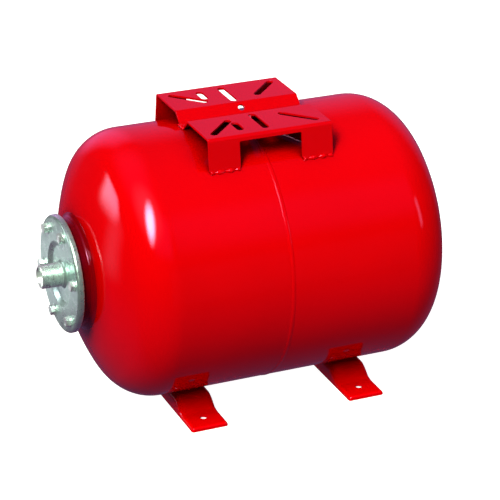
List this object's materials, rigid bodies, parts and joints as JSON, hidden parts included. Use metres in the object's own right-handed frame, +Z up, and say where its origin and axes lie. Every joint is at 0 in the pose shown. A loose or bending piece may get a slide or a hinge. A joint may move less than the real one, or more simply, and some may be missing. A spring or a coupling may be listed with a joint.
{
  "type": "horizontal membrane expansion vessel",
  "caption": "Horizontal red membrane expansion vessel on two saddle feet, with a slotted pump bracket on top, a bolted zinc counter-flange with male thread, and an air valve.",
  "frame": {"origin": "floor level, at the centre of the four foot holes", "axes": "+Z up; X along the vessel axis with the water connection towards -X and the air valve towards +X"},
  "size_m": [0.59, 0.3716, 0.404],
  "materials": {
    "red_enamel": "gloss stoved enamel",
    "zinc_plate": "bright zinc plating, satin",
    "brass": "machined",
    "black_rubber": "matt moulded",
    "black_plastic": "moulded, fine grain",
    "spring_steel": "bare drawn wire"
  },
  "bodies": {
    "vessel": {"shell_front": "red_enamel", "shell_rear": "red_enamel", "girth_weld": "red_enamel", "neck_ring": "red_enamel", "neck_weld": "red_enamel", "weld_nuts": "zinc_plate", "counter_flange": "zinc_plate", "water_nipple": "zinc_plate", "nipple_weld": "zinc_plate", "flange_bolts": "zinc_plate", "flange_washers": "zinc_plate", "bladder": "black_rubber", "pump_bracket": "red_enamel", "bracket_welds": "red_enamel", "foot_front": "red_enamel", "foot_rear": "red_enamel", "foot_welds": "red_enamel", "valve_boss": "zinc_plate", "boss_weld": "red_enamel", "valve_stem": "brass", "stem_gasket": "black_rubber", "valve_core": "brass", "core_spring": "spring_steel"},
    "core": {"core_pin": "brass", "core_seal": "black_rubber"},
    "cap_carrier": {"cap_seal": "black_rubber"},
    "cap": {"valve_cap": "black_plastic"}
  },
  "joints": [
    {"name": "core_press", "type": "slide", "parent": "vessel", "child": "core", "axis": [-1, 0, 0], "range_m": [0, 0.0012], "stiffness_N_per_m": 800, "springref_m": -0.002, "deforming": ["core_spring"]},
    {"name": "cap_lift", "type": "slide", "parent": "vessel", "child": "cap_carrier", "axis": [1, 0, 0], "range_m": [0, 0.00397]},
    {"name": "cap_turn", "type": "hinge", "parent": "cap_carrier", "child": "cap", "pos_m": [0.275, 0, 0.203], "axis": [1, 0, 0], "range_deg": [0, 1800]}
  ],
  "couplings": [
    {"joint": "cap_turn", "follows": "cap_lift", "rad_per_m": 7913.3}
  ]
}
